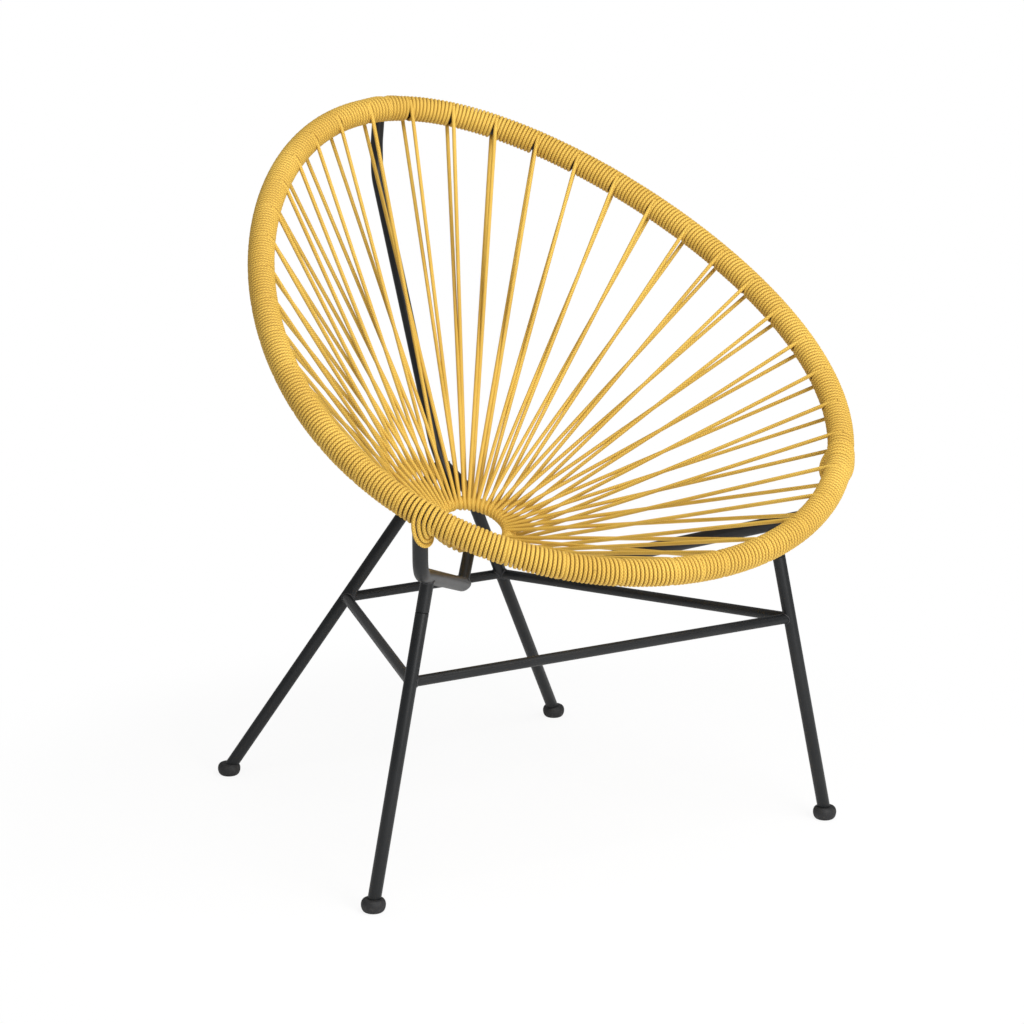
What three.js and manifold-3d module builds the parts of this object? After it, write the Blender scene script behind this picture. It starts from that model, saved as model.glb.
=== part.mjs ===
import * as THREE from "three";
import { mergeVertices } from "three/addons/utils/BufferGeometryUtils.js";
import Module from "manifold-3d";

// A round-backed string chair: a wound tube hoop, a hub ring low in the middle, cords stretched
// between the two, and a welded tube frame on four legs.
// Lengths are in millimetres and Z is up. The chair faces -Y, and the origin is on the floor under
// the middle of its box. Everything off the middle is made for the +X side and mirrored.

// Places called "back" below are measured backwards from the foremost point of the hoop's centre line

// Seat hoop, measured along its tube's centre line and in its own sloping plane
const HOOP_LENGTH = 858;
const HOOP_HALF_WIDTH = 343;
const HOOP_FRONT_HEIGHT = 413;
const HOOP_TILT = THREE.MathUtils.degToRad(31.1);
const HOOP_EGG_SHARE = 0.19;
const HOOP_TUBE = 22;

// Hub ring that every cord loops round
const HUB_RADIUS = 48.5;
const HUB_ROD = 10;
const HUB_BACK = 512.1;
const HUB_HEIGHT = 351;
const HUB_TILT = THREE.MathUtils.degToRad(24);

// Cord, and how many double strands lie on one side behind and ahead of the arm on the hoop, and
// behind the strut on the hub
const CORD = 5;
const STRANDS_BEHIND = 15;
const STRANDS_AHEAD = 5;
const STRANDS_BEHIND_STRUT = 17;
const STRANDS_PER_PANEL = 3;
const ARM_ON_HOOP_SHARE = 0.3615;
const STRAND_BEHIND_ARM = 25.5;
const STRAND_AHEAD_OF_ARM = 41.5;

// How far to either side of a strand's middle its two cords lie, on the hoop and on the hub
const HOOP_LACE = 1.7;
const HUB_LACE = 3.2;

// Turns of cord over the joint of hoop and arm
const CUFF_TURNS = 4;
const CUFF_PITCH = 6.2;
const CUFF_NEST = 5.9;
const CUFF_START = 1.5;
const CUFF_CLEARANCE = 0.6;
const CUFF_DROOP_POWER = 5;

// Arm tubes, from the hoop down through the elbow to the strut under the hub
const ARM_TUBE = 18;
const ARM_BEND = 42;
const ELBOW_X = 278.3;
const ELBOW_BACK = 146.2;
const ELBOW_HEIGHT = 410.3;
const ARM_END_X = 64.3;
const ARM_END_BACK = 425.9;
const ARM_END_HEIGHT = 302.5;
const ARM_TIP = 5;
const STRUT_TUBE = 15;

// Spine tube, from the back of the hoop down to the back of the hub, where a rod ends it
const SPINE_TUBE = 16;
const SPINE_SET_BACK = 25;
const SPINE_SHOULDER_DROP = 46;
const SPINE_BEND_DROP = 89.2;
const SPINE_KNEE_RISE = 71.3;
const SPINE_LEAN = THREE.MathUtils.degToRad(24.6);
const SPINE_BEND = 60;
const SPINE_ROD_LENGTH = 11;

// Legs and the stubs that they plug onto
const LEG_TUBE = 16;
const LEG_WALL = 1.5;
const FRONT_FOOT_X = 322.7;
const FRONT_FOOT_BACK = 184.7;
const REAR_FOOT_X = 248.7;
const REAR_FOOT_BACK = 722.2;
const REAR_LEGS_MEET_BEHIND_HUB = 10.1;
const REAR_LEGS_MEET_RISE = 75;
const LEG_ON_ARM_SHARE = 0.172;
const SEAM_HEIGHT = 350;
const SPIGOT_LENGTH = 40;
const SPIGOT_FIT = 0.3;
const REAR_STUB_STRAIGHT = 28;
const REAR_STUB_BEND = 14;
const REAR_STUB_WELD_SHARE = 0.365;

// Stretchers between the legs
const STRETCHER_TUBE = 12.7;
const FRONT_STRETCHER_HEIGHT = 269;
const REAR_STRETCHER_HEIGHT = 242;

// Foot caps
const FOOT_WIDTH = 29.5;
const FOOT_BASE_WIDTH = 19;
const FOOT_TOP_WIDTH = 20;
const FOOT_HEIGHT = 16;
const FOOT_MIDDLE = 9;
const LEG_ABOVE_FLOOR = 9;

// Least clearance between two pieces that touch, and how far a cutting body reaches past its cut
const GAP = 0.3;
const OVERRUN = 30;

// Facets
const TUBE_SIDES = 10;
const LEG_SIDES = 10;
const HOOP_SIDES = 8;
const CORD_SIDES = 5;
const CUFF_SIDES = 6;
const STATIONS_PER_STRAND = 2;
const BEND_STEPS = 4;
const CUFF_STEPS = 20;
const FOOT_STEPS = 3;
const HUB_STEPS = 36;
const HUB_SIDES = 8;
const WRAP_STEPS = 4;

// Numbers that a corner and a triangle take in a list of positions
const CORNER_NUMBERS = 3;
const TRIANGLE_NUMBERS = 3 * CORNER_NUMBERS;

const wasm = await Module();
wasm.setup();

const black = new THREE.MeshStandardMaterial({ color: 0x1b1b1d, roughness: 0.45, metalness: 0.6 });
const rubber = new THREE.MeshStandardMaterial({ color: 0x161616, roughness: 0.8, metalness: 0 });
const yellow = new THREE.MeshStandardMaterial({ color: 0xdd9f35, roughness: 0.75, metalness: 0 });

const chair = new THREE.Group();
const UP = new THREE.Vector3(0, 0, 1);

const point = (x, y, z) => new THREE.Vector3(x, y, z);
const between = (a, b, share) => a.clone().lerp(b, share);
const towards = (a, b) => b.clone().sub(a).normalize();
const offset = (origin, direction, distance) => origin.clone().addScaledVector(direction, distance);

// A circle of corners round a centre, seen along the axis side x up
function ringOfPoints(centre, side, up, radius, sides) {
  return Array.from({ length: sides }, (_, i) => {
    const angle = (i / sides) * 2 * Math.PI;
    return offset(offset(centre, side, radius * Math.cos(angle)), up, radius * Math.sin(angle));
  });
}

// Skin over a row of rings with like numbers of corners: capped at its ends, or joined end to start
function loft(rings, closed = false) {
  const sides = rings[0].length;
  const positions = rings.flat().flatMap((corner) => corner.toArray());
  const faces = [];
  const spans = closed ? rings.length : rings.length - 1;
  for (let r = 0; r < spans; r++) {
    const here = r * sides;
    const next = ((r + 1) % rings.length) * sides;
    for (let i = 0; i < sides; i++) {
      const j = (i + 1) % sides;
      faces.push(here + i, here + j, next + j, here + i, next + j, next + i);
    }
  }
  if (!closed) {
    const last = (rings.length - 1) * sides;
    for (let i = 1; i < sides - 1; i++) {
      faces.push(0, i + 1, i, last, last + i, last + i + 1);
    }
  }
  const geometry = new THREE.BufferGeometry();
  geometry.setAttribute("position", new THREE.Float32BufferAttribute(positions, 3));
  geometry.setIndex(faces);
  return geometry;
}

// Round tube along a line of points, its corners carried along without twist
function tube(points, radius, sides = TUBE_SIDES) {
  const count = points.length;
  const headings = points.map((_, i) => towards(points[Math.max(i - 1, 0)], points[Math.min(i + 1, count - 1)]));
  const reference = Math.abs(headings[0].z) > Math.SQRT1_2 ? point(0, 1, 0) : UP;
  const side = new THREE.Vector3().crossVectors(headings[0], reference).normalize();
  const rings = points.map((centre, i) => {
    if (i > 0) {
      side.applyQuaternion(new THREE.Quaternion().setFromUnitVectors(headings[i - 1], headings[i]));
    }
    side.addScaledVector(headings[i], -side.dot(headings[i])).normalize();
    const up = new THREE.Vector3().crossVectors(headings[i], side);
    const slant = i > 0 && i < count - 1 ? mitreScale(points[i - 1], centre, points[i + 1]) : 1;
    return ringOfPoints(centre, side, up, radius * slant, sides);
  });
  return loft(rings);
}

// Keeps a faceted bend as thick as its straight runs
function mitreScale(before, here, after) {
  const turn = towards(before, here).angleTo(towards(here, after));
  return 1 / Math.cos(turn / 2);
}

// Line of points through the given corners, each inner corner rounded to the bend radius
function bentLine(corners, bend) {
  const line = [corners[0]];
  for (let i = 1; i < corners.length - 1; i++) {
    const back = towards(corners[i], corners[i - 1]);
    const ahead = towards(corners[i], corners[i + 1]);
    const half = back.angleTo(ahead) / 2;
    const room = Math.min(corners[i].distanceTo(corners[i - 1]), corners[i].distanceTo(corners[i + 1])) / 2;
    const reach = Math.min(bend / Math.tan(half), room);
    const arc = new THREE.QuadraticBezierCurve3(
      offset(corners[i], back, reach), corners[i], offset(corners[i], ahead, reach));
    line.push(...arc.getPoints(BEND_STEPS));
  }
  line.push(corners[corners.length - 1]);
  return line;
}

// Turned piece on an axis: profile rows are radius and distance from the base
function turned(profile, base, direction, sides = LEG_SIDES) {
  const geometry = new THREE.LatheGeometry(profile.map(([r, along]) => new THREE.Vector2(r, along)), sides);
  const turn = new THREE.Quaternion().setFromUnitVectors(point(0, 1, 0), direction);
  return geometry.applyMatrix4(new THREE.Matrix4().compose(base, turn, point(1, 1, 1)));
}

function solid(geometry) {
  const bare = geometry.clone();
  bare.deleteAttribute("normal");
  bare.deleteAttribute("uv");
  const merged = mergeVertices(bare);
  return new wasm.Manifold(new wasm.Mesh({
    numProp: 3,
    vertProperties: Float32Array.from(merged.attributes.position.array),
    triVerts: Uint32Array.from(merged.index.array),
  }));
}

function geometryOf(body) {
  const mesh = body.getMesh();
  const geometry = new THREE.BufferGeometry();
  geometry.setAttribute("position", new THREE.Float32BufferAttribute(mesh.vertProperties, 3));
  geometry.setIndex(new THREE.Uint32BufferAttribute(mesh.triVerts, 1));
  return geometry;
}

const cut = (geometry, cutters) =>
  geometryOf(cutters.reduce((body, cutter) => body.subtract(solid(cutter)), solid(geometry)));
const joined = (geometries) =>
  geometryOf(geometries.slice(1).reduce((body, more) => body.add(solid(more)), solid(geometries[0])));

// Tube whose flats clear the real one, for coping the ends that meet it
const clearRadius = (radius, sides) => (radius + GAP) / Math.cos(Math.PI / sides);
const envelope = (points, diameter, sides = TUBE_SIDES) =>
  tube(points, clearRadius(diameter / 2, sides), sides);

function add(name, geometry, material, group = chair) {
  const mesh = new THREE.Mesh(geometry, material);
  mesh.name = name;
  group.add(mesh);
  return mesh;
}

function mirrored(geometry) {
  const copy = geometry.index ? geometry.toNonIndexed() : geometry.clone();
  const array = copy.attributes.position.array;
  for (let first = 0; first < array.length; first += TRIANGLE_NUMBERS) {
    const second = first + CORNER_NUMBERS;
    const third = second + CORNER_NUMBERS;
    const kept = array.slice(second, third);
    array.copyWithin(second, third, third + CORNER_NUMBERS);
    array.set(kept, third);
  }
  for (let i = 0; i < array.length; i += CORNER_NUMBERS) {
    array[i] = -array[i];
  }
  copy.deleteAttribute("normal");
  copy.deleteAttribute("uv");
  return mergeVertices(copy);
}

function addPair(name, geometry, material, group = chair) {
  add(`${name}_right`, geometry, material, group);
  add(`${name}_left`, mirrored(geometry), material, group);
}

// Hoop: a flat egg, wider towards the front
const cordLift = HOOP_TUBE / 2 + GAP + CORD / 2;
const woundRadius = HOOP_TUBE / 2 + GAP + CORD;
const depth = woundRadius + HOOP_LENGTH * Math.cos(HOOP_TILT) + SPINE_SET_BACK + SPINE_TUBE / 2;
const hoopFrontY = woundRadius - depth / 2;
const back = (distance) => hoopFrontY + distance;
const slope = point(0, Math.cos(HOOP_TILT), Math.sin(HOOP_TILT));
const hoopUp = point(0, -Math.sin(HOOP_TILT), Math.cos(HOOP_TILT));
const hoopFront = point(0, hoopFrontY, HOOP_FRONT_HEIGHT);
const hoopTop = offset(hoopFront, slope, HOOP_LENGTH);

class HoopLine extends THREE.Curve {
  getPoint(t) {
    const angle = 2 * Math.PI * t;
    const down = (HOOP_LENGTH / 2) * (1 - Math.cos(angle));
    const half = HOOP_HALF_WIDTH * Math.sin(angle) * (1 - HOOP_EGG_SHARE * Math.cos(angle));
    return offset(hoopTop, slope, -down).setX(half);
  }
}
const hoopLine = new HoopLine();
hoopLine.arcLengthDivisions = 2000;

// Runs along one side of the hoop from the back top: each strand's, and those of the stations, which
// lie at the strands, midway between them and at the arm
const hoopLength = hoopLine.getLength();
const armRun = ARM_ON_HOOP_SHARE * hoopLength;
const frontRun = hoopLength / 2;
const strandsASide = STRANDS_BEHIND + STRANDS_AHEAD;
const armStation = STRANDS_BEHIND * STATIONS_PER_STRAND;
const frontStation = strandsASide * STATIONS_PER_STRAND;
function strandRun(strand) {
  if (strand < STRANDS_BEHIND) {
    return ((strand + 1 / 2) * (armRun - STRAND_BEHIND_ARM)) / (STRANDS_BEHIND - 1 / 2);
  }
  const first = armRun + STRAND_AHEAD_OF_ARM;
  return first + ((strand - STRANDS_BEHIND) * (frontRun - first)) / (STRANDS_AHEAD - 1 / 2);
}
function stationRun(station) {
  const strand = Math.floor(station / STATIONS_PER_STRAND);
  if (station % STATIONS_PER_STRAND > 0) {
    return strandRun(strand);
  }
  const marked = new Map([[0, 0], [armStation, armRun], [frontStation, frontRun]]);
  return marked.get(station) ?? (strandRun(strand - 1) + strandRun(strand)) / 2;
}
const stationLength = (station) => stationRun(Math.floor(station) + 1) - stationRun(Math.floor(station));

function stationFrame(station) {
  const share = stationRun(Math.min(station, 2 * frontStation - station)) / hoopLength;
  const place = hoopLine.getPointAt(share);
  const heading = hoopLine.getTangentAt(share);
  if (station > frontStation) {
    place.x = -place.x;
    heading.multiply(point(1, -1, -1));
  }
  return { place, heading, outward: new THREE.Vector3().crossVectors(hoopUp, heading).normalize() };
}

// Ring of corners on the hoop at a whole station, or on the straight facets between two of them
function hoopRing(station, radius) {
  const first = Math.floor(station);
  const corners = [first, first + 1].map((whole) => {
    const { place, outward } = stationFrame(whole);
    return ringOfPoints(place, outward, hoopUp, radius, HOOP_SIDES);
  });
  return corners[0].map((corner, i) => between(corner, corners[1][i], station - first));
}

const hoopBore = HOOP_TUBE / 2 + GAP / Math.cos(Math.PI / HOOP_SIDES);
const wholeStations = Array.from({ length: 2 * frontStation }, (_, station) => station);
add("hoop_tube", loft(wholeStations.map((station) => hoopRing(station, HOOP_TUBE / 2)), true), black);

// Hub ring, lying in a plane that leans back like the hoop's
const hubCentre = point(0, back(HUB_BACK), HUB_HEIGHT);
const hubUp = point(0, -Math.sin(HUB_TILT), Math.cos(HUB_TILT));
const hubSlope = point(0, Math.cos(HUB_TILT), Math.sin(HUB_TILT));
const hub = new THREE.TorusGeometry(HUB_RADIUS, HUB_ROD / 2, HUB_SIDES, HUB_STEPS);
const hubMesh = add("hub_ring", hub, black);
hubMesh.position.copy(hubCentre);
hubMesh.rotation.x = HUB_TILT;
hubMesh.updateMatrixWorld();
const hubEnvelope = new THREE.TorusGeometry(
  HUB_RADIUS, clearRadius(HUB_ROD / 2, HUB_SIDES), HUB_SIDES, HUB_STEPS)
  .applyMatrix4(hubMesh.matrixWorld);

// Places round the hub: the turn is counted from the back
function hubFrame(turn) {
  const outward = offset(point(Math.sin(turn), 0, 0), hubSlope, Math.cos(turn));
  const along = new THREE.Vector3().crossVectors(outward, hubUp);
  return { place: offset(hubCentre, outward, HUB_RADIUS), outward, along };
}
const wrapLift = HUB_ROD / 2 + GAP + CORD / 2;
const hubEndTurn = Math.asin((HUB_LACE + CORD / 2 + 3 * GAP) / HUB_RADIUS);
const strutWindow = (STRUT_TUBE + CORD + HUB_LACE + 4 * GAP) / (HUB_RADIUS + wrapLift);
const hubPitch = (Math.PI - 2 * hubEndTurn - strutWindow) / (strandsASide - 2);
const strandTurn = (strand) =>
  hubEndTurn + strand * hubPitch + (strand < STRANDS_BEHIND_STRUT ? 0 : strutWindow - hubPitch);
const strutTurn = strandTurn(STRANDS_BEHIND_STRUT - 1) + strutWindow / 2 + HUB_LACE / HUB_RADIUS;

// Arm: from the hoop's underside, round the elbow and on under the seat, where it is cut off askew
const armRoot = stationFrame(armStation).place;
const elbow = point(ELBOW_X, back(ELBOW_BACK), ELBOW_HEIGHT);
const armEnd = point(ARM_END_X, back(ARM_END_BACK), ARM_END_HEIGHT);
const strutTop = hubFrame(strutTurn).place;
const runHeading = towards(elbow, armEnd);
const strutHeading = towards(armEnd, strutTop);
const armLine = bentLine([armRoot, elbow, offset(armEnd, runHeading, ARM_TUBE)], ARM_BEND);
const tipFacing = runHeading.clone().sub(strutHeading).normalize();
const beyondTip = new THREE.BoxGeometry(OVERRUN * 2, OVERRUN * 2, OVERRUN);
beyondTip.applyMatrix4(new THREE.Matrix4().compose(
  offset(armEnd, tipFacing, ARM_TIP + OVERRUN / 2),
  new THREE.Quaternion().setFromUnitVectors(UP, tipFacing),
  point(1, 1, 1)));
const hoopEnvelope = loft(wholeStations.map((station) => hoopRing(station, hoopBore)), true);
addPair("arm", cut(tube(armLine, ARM_TUBE / 2), [hoopEnvelope, beyondTip]), black);
const armEnvelope = envelope(armLine, ARM_TUBE);

// Strut: from the arm's end up to the hub ring
addPair("hub_strut", cut(tube([armEnd, strutTop], STRUT_TUBE / 2), [armEnvelope, hubEnvelope]), black);

// Spine: welded behind the hoop, straight down, then forward under the seat, with a rod to the hub ring
const spineY = hoopTop.y + SPINE_SET_BACK;
const weldY = hoopTop.y + (HOOP_TUBE + SPINE_TUBE) / 2 + GAP;
const spineEnd = hubFrame(0).place;
const bendHeight = hoopTop.z - SPINE_BEND_DROP;
const kneeHeight = spineEnd.z + SPINE_KNEE_RISE;
const spineKnee = point(0, spineY - (bendHeight - kneeHeight) * Math.tan(SPINE_LEAN), kneeHeight);
const rodStart = offset(spineEnd, towards(spineEnd, spineKnee), SPINE_ROD_LENGTH);
const rodRoot = offset(rodStart, towards(spineEnd, spineKnee), SPINE_TUBE / 2);
const spineLine = bentLine([
  point(0, weldY, hoopTop.z + SPINE_TUBE / 2),
  point(0, weldY, hoopTop.z - HOOP_TUBE / 2),
  point(0, spineY, hoopTop.z - SPINE_SHOULDER_DROP),
  point(0, spineY, bendHeight),
  spineKnee,
  rodStart,
], SPINE_BEND);
const spine = joined([tube(spineLine, SPINE_TUBE / 2), tube([rodRoot, spineEnd], HUB_ROD / 2)]);
add("spine_tube", cut(spine, [hubEnvelope, hoopEnvelope]), black);
const spineEnvelope = envelope(spineLine, SPINE_TUBE);

// Legs: straight tubes, open at the top, that plug onto a stub's spigot
const legRadius = LEG_TUBE / 2;
const boreRadius = legRadius - LEG_WALL;
const spigotRadius = boreRadius - SPIGOT_FIT;
const base = new THREE.Group();
chair.add(base);

function legAxis(foot, top) {
  const low = offset(foot, UP, FOOT_MIDDLE);
  const atHeight = (height) => between(low, top, (height - low.z) / (top.z - low.z));
  return { atHeight, heading: towards(low, top) };
}

function legTube(axis) {
  const start = axis.atHeight(LEG_ABOVE_FLOOR);
  const length = start.distanceTo(axis.atHeight(SEAM_HEIGHT));
  const bore = length - SPIGOT_LENGTH - GAP;
  const profile = [[0, 0], [legRadius, 0], [legRadius, length], [boreRadius, length], [boreRadius, bore], [0, bore]];
  return turned(profile, start, axis.heading);
}

// Spigot that hangs from a stub into the leg's bore, and the shoulder where the stub begins
function spigot(axis) {
  const shoulder = offset(axis.atHeight(SEAM_HEIGHT), axis.heading, GAP);
  const reach = SPIGOT_LENGTH + legRadius;
  const profile = [[0, 0], [spigotRadius, 0], [spigotRadius, reach], [0, reach]];
  return { shoulder, body: turned(profile, offset(shoulder, axis.heading, -SPIGOT_LENGTH), axis.heading) };
}

const frontFoot = point(FRONT_FOOT_X, back(FRONT_FOOT_BACK), 0);
const rearFoot = point(REAR_FOOT_X, back(REAR_FOOT_BACK), 0);
const rearLegsMeet = spineEnd.clone().add(point(0, REAR_LEGS_MEET_BEHIND_HUB, REAR_LEGS_MEET_RISE));
const frontAxis = legAxis(frontFoot, between(elbow, armEnd, LEG_ON_ARM_SHARE));
const rearAxis = legAxis(rearFoot, rearLegsMeet);
addPair("front_leg", legTube(frontAxis), black, base);
addPair("rear_leg", legTube(rearAxis), black, base);

const frontSpigot = spigot(frontAxis);
const frontStubTop = between(elbow, armEnd, LEG_ON_ARM_SHARE);
const frontStub = joined([frontSpigot.body, tube([frontSpigot.shoulder, frontStubTop], legRadius)]);
addPair("front_stub", cut(frontStub, [armEnvelope]), black);

const rearSpigot = spigot(rearAxis);
const rearStubKnee = offset(rearSpigot.shoulder, rearAxis.heading, REAR_STUB_STRAIGHT);
const inSpine = between(spineKnee, spineEnd, REAR_STUB_WELD_SHARE);
const rearStubEnd = offset(inSpine, towards(inSpine, rearStubKnee), SPINE_TUBE / 4);
const rearStubLine = bentLine([rearSpigot.shoulder, rearStubKnee, rearStubEnd], REAR_STUB_BEND);
const rearStub = joined([rearSpigot.body, tube(rearStubLine, legRadius)]);
const otherSide = new THREE.BoxGeometry(OVERRUN, OVERRUN * 2, OVERRUN * 2);
otherSide.translate((GAP - OVERRUN) / 2, inSpine.y, inSpine.z);
addPair("rear_stub", cut(rearStub, [spineEnvelope, otherSide]), black);

// Stretchers: their ends are coped to the legs, and the side ones to the front and rear ones too
const legEnvelope = (axis) =>
  envelope([axis.atHeight(0), axis.atHeight(SEAM_HEIGHT)], LEG_TUBE, LEG_SIDES);
const mirrorPoint = (place) => place.clone().setX(-place.x);
const frontJoint = frontAxis.atHeight(FRONT_STRETCHER_HEIGHT);
const rearJoint = rearAxis.atHeight(REAR_STRETCHER_HEIGHT);
const crossLine = (joint) => [joint, mirrorPoint(joint)];
function crossStretcher(joint, axis) {
  const legs = [legEnvelope(axis), mirrored(legEnvelope(axis))];
  return cut(tube(crossLine(joint), STRETCHER_TUBE / 2), legs);
}
add("front_stretcher", crossStretcher(frontJoint, frontAxis), black, base);
add("rear_stretcher", crossStretcher(rearJoint, rearAxis), black, base);
const sideCutters = [
  legEnvelope(frontAxis),
  legEnvelope(rearAxis),
  envelope(crossLine(frontJoint), STRETCHER_TUBE),
  envelope(crossLine(rearJoint), STRETCHER_TUBE),
];
const sideStretcher = cut(tube([frontJoint, rearJoint], STRETCHER_TUBE / 2), sideCutters);
addPair("side_stretcher", sideStretcher, black, base);

// Foot caps: a round bulb on the floor that the leg's end sits in
function footCap(foot, axis) {
  const quarter = Array.from({ length: FOOT_STEPS + 1 }, (_, i) => (i / FOOT_STEPS) * (Math.PI / 2));
  const arc = (endRadius, height) => quarter.map((angle) =>
    [endRadius + (FOOT_WIDTH / 2 - endRadius) * Math.cos(angle), FOOT_MIDDLE + height * Math.sin(angle)]);
  const lower = arc(FOOT_BASE_WIDTH / 2, -FOOT_MIDDLE).reverse();
  const upper = arc(FOOT_TOP_WIDTH / 2, FOOT_HEIGHT - FOOT_MIDDLE).slice(1);
  const bulb = turned([[0, 0], ...lower, ...upper, [0, FOOT_HEIGHT]], foot, UP);
  const start = axis.atHeight(LEG_ABOVE_FLOOR);
  const socket = tube([offset(start, axis.heading, -GAP), offset(start, axis.heading, OVERRUN)],
    clearRadius(legRadius, LEG_SIDES), LEG_SIDES);
  return cut(bulb, [socket]);
}
addPair("front_foot", footCap(frontFoot, frontAxis), rubber, base);
addPair("rear_foot", footCap(rearFoot, rearAxis), rubber, base);

// One double strand: from the hoop's top down under the hub ring, up round it on its inner side, and
// back to the hoop's underside. The two cords pass each other side by side.
function strandLine(strand) {
  const station = strand * STATIONS_PER_STRAND + STATIONS_PER_STRAND / 2;
  const { place: onHoop, heading } = stationFrame(station);
  const { place: onHub, along, outward } = hubFrame(strandTurn(strand));
  const run = towards(onHoop, onHub);
  const hoopLift = new THREE.Vector3().crossVectors(run, heading).normalize();
  hoopLift.multiplyScalar(Math.sign(hoopLift.dot(hoopUp)));
  const hubLift = new THREE.Vector3().crossVectors(run, along).normalize();
  hubLift.multiplyScalar(Math.sign(hubLift.dot(hubUp)));
  const inward = new THREE.Vector3().crossVectors(along, hubLift).normalize();
  inward.multiplyScalar(-Math.sign(inward.dot(outward)));
  const wrapRadius = wrapLift / Math.cos(Math.PI / (2 * WRAP_STEPS));
  const wrap = Array.from({ length: WRAP_STEPS + 1 }, (_, i) => {
    const angle = (1 - i / WRAP_STEPS) * Math.PI;
    const beside = offset(onHub, along, HUB_LACE * (1 - (2 * i) / WRAP_STEPS));
    return offset(offset(beside, hubLift, wrapRadius * Math.cos(angle)), inward, wrapRadius * Math.sin(angle));
  });
  const start = offset(offset(onHoop, heading, HOOP_LACE), hoopLift, cordLift);
  const end = offset(offset(onHoop, heading, -HOOP_LACE), hoopLift, -cordLift);
  return [start, ...wrap, end];
}

// Cord panel: the wound sleeve on a stretch of the hoop with the strands that leave it
function panel(firstStrand, lastStrand) {
  const ends = [firstStrand, lastStrand + 1].map((strand) => strand * STATIONS_PER_STRAND);
  const inset = ends.map((station, i) => {
    const nearArm = station === armStation;
    const room = i === 0 ? cuffAhead : cuffBehind;
    return (nearArm ? room : GAP / 2) / stationLength(i === 0 ? station : station - 1);
  });
  const stations = [ends[0] + inset[0]];
  for (let station = ends[0] + 1; station < ends[1]; station++) {
    stations.push(station);
  }
  stations.push(ends[1] - inset[1]);
  const outer = stations.map((station) => hoopRing(station, woundRadius));
  const inner = stations.map((station) => hoopRing(station, hoopBore)).reverse();
  const sleeve = loft([...outer, ...inner], true);
  const strands = [];
  for (let strand = firstStrand; strand <= lastStrand; strand++) {
    strands.push(tube(strandLine(strand), CORD / 2, CORD_SIDES));
  }
  const body = joined([sleeve, ...strands]);
  return firstStrand === 0 ? cut(body, [spineEnvelope]) : body;
}

// Cuff: turns of cord that start over the hoop's top like the winding, and droop in a nest in front of
// the arm where they pass under it
const armHeading = towards(armRoot, elbow);
const armStationFrame = stationFrame(armStation);
const armLean = armHeading.dot(armStationFrame.heading) / -armHeading.dot(hoopUp);
const leanStretch = Math.hypot(1, armLean);
const cuffPass = (ARM_TUBE / 2 + CORD / 2 + CUFF_CLEARANCE) * leanStretch;
const armBehind = (ARM_TUBE / 2) * leanStretch - (HOOP_TUBE / 2) * armLean;
const cuffBehind = Math.max(CUFF_START + CUFF_PITCH / 4 + CORD / 2, armBehind) + GAP;
function cuffLine() {
  const { place, outward } = armStationFrame;
  const { place: ahead } = stationFrame(armStation + 1);
  const { place: behind } = stationFrame(armStation - 1);
  const lowest = Math.atan2(-armHeading.dot(outward), -armHeading.dot(hoopUp));
  const lift = cordLift + CUFF_CLEARANCE;
  return Array.from({ length: CUFF_TURNS * CUFF_STEPS + 1 }, (_, i) => {
    const turns = i / CUFF_STEPS - 1 / 4;
    const angle = 2 * Math.PI * turns;
    const low = ((1 - Math.cos(angle - lowest)) / 2) ** CUFF_DROOP_POWER;
    const along = turns * CUFF_PITCH - CUFF_START;
    const nest = (CUFF_TURNS - 1 / 2 - turns) * CUFF_NEST;
    const radius = lift + nest * Math.sin((Math.PI / 2) * low);
    const shift = along * Math.cos((Math.PI / 2) * low) + (cuffPass + armLean * radius) * low;
    const centre = shift > 0
      ? between(place, ahead, shift / stationLength(armStation))
      : between(place, behind, -shift / stationLength(armStation - 1));
    return offset(offset(centre, hoopUp, radius * Math.cos(angle)), outward, radius * Math.sin(angle));
  });
}
const cuffPoints = cuffLine();
const cuffAhead = CORD / 2 + 2 * CUFF_CLEARANCE + Math.max(...cuffPoints
  .filter((place) => distanceToHoop(place) < woundRadius + CORD / 2 + 2 * CUFF_CLEARANCE)
  .map((place) => place.clone().sub(armStationFrame.place).dot(armStationFrame.heading)));

function distanceToHoop(place) {
  const away = place.clone().sub(armStationFrame.place);
  return offset(away, armStationFrame.heading, -away.dot(armStationFrame.heading)).length();
}

// Least gap of the cuff's cord to itself, between stretches at least half a turn apart
function leastSelfGap(points) {
  let least = Infinity;
  for (let i = 0; i < points.length; i++) {
    for (let j = i + CUFF_STEPS / 2; j < points.length; j++) {
      least = Math.min(least, points[i].distanceTo(points[j]) - CORD);
    }
  }
  return least;
}
console.log(`cuff cord, least gap to itself: ${leastSelfGap(cuffPoints).toFixed(2)} mm`);
addPair("cord_cuff", tube(cuffPoints, CORD / 2, CUFF_SIDES), yellow);

let panelNumber = 0;
for (const [first, count] of [[0, STRANDS_BEHIND], [STRANDS_BEHIND, STRANDS_AHEAD]]) {
  for (let strand = first; strand < first + count; strand += STRANDS_PER_PANEL) {
    const last = Math.min(strand + STRANDS_PER_PANEL, first + count) - 1;
    panelNumber += 1;
    addPair(`cord_panel_${panelNumber}`, panel(strand, last), yellow);
  }
}

export default chair;
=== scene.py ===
import math

import bmesh
import bpy
from mathutils import Matrix, Vector


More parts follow.
